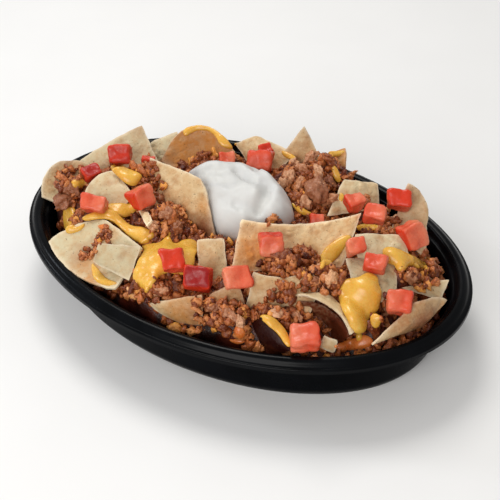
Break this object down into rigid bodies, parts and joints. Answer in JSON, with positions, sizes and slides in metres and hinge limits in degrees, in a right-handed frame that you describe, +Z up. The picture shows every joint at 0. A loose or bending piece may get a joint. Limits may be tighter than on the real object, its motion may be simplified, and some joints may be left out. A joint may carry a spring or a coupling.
{
  "type": "nachos",
  "caption": "Oval black plastic bowl heaped with tortilla chips, seasoned beef crumble, cheese sauce, diced tomato and a dollop of sour cream.",
  "frame": {"origin": "middle of the bowl's flat base, on the surface that it stands on", "axes": "+Z up, +X along the bowl's long axis, towards the end where the bed of beef is lowest"},
  "size_m": [0.24, 0.16, 0.0695],
  "materials": {
    "bowl": "glossy black moulded plastic",
    "corn_chip": "matt fried corn chip, pale with small dark specks",
    "tomato": "wet diced tomato",
    "sour_cream": "satin white cream",
    "cheese_sauce": "glossy yellow cheese sauce",
    "seasoned_beef": "moist brown beef crumble"
  },
  "bodies": {
    "root": {"beef_bed": "seasoned_beef", "beef_on_front_chip": "seasoned_beef", "beef_on_left_chip": "seasoned_beef", "bowl": "bowl", "cheese_arch": "cheese_sauce", "cheese_blob": "cheese_sauce", "cheese_front": "cheese_sauce", "cheese_left": "cheese_sauce", "cheese_pool": "cheese_sauce", "cheese_ribbon": "cheese_sauce", "cheese_right": "cheese_sauce", "cheese_strap": "cheese_sauce", "chip_back_arch": "corn_chip", "chip_back_hook": "corn_chip", "chip_back_left": "corn_chip", "chip_back_pale": "corn_chip", "chip_back_right": "corn_chip", "chip_back_spike": "corn_chip", "chip_centre_large": "corn_chip", "chip_centre_low": "corn_chip", "chip_centre_upright": "corn_chip", "chip_fan": "corn_chip", "chip_far_left": "corn_chip", "chip_front_brown": "corn_chip", "chip_front_left": "corn_chip", "chip_front_low": "corn_chip", "chip_front_middle": "corn_chip", "chip_front_stub": "corn_chip", "chip_front_tip": "corn_chip", "chip_left_middle": "corn_chip", "chip_right_middle": "corn_chip", "chip_right_pale": "corn_chip", "chip_right_spike": "corn_chip", "chip_right_tip": "corn_chip", "chip_right_upper": "corn_chip", "chip_roof": "corn_chip", "chip_small_front_left": "corn_chip", "chip_under_roof": "corn_chip", "sour_cream": "sour_cream", "tomato_01": "tomato", "tomato_02": "tomato", "tomato_03": "tomato", "tomato_04": "tomato", "tomato_05": "tomato", "tomato_06": "tomato", "tomato_07": "tomato", "tomato_08": "tomato", "tomato_09": "tomato", "tomato_10": "tomato", "tomato_11": "tomato", "tomato_12": "tomato", "tomato_13": "tomato", "tomato_14": "tomato", "tomato_15": "tomato", "tomato_16": "tomato", "tomato_17": "tomato", "tomato_18": "tomato", "tomato_19": "tomato", "tomato_20": "tomato", "tomato_21": "tomato"}
  },
  "joints": []
}
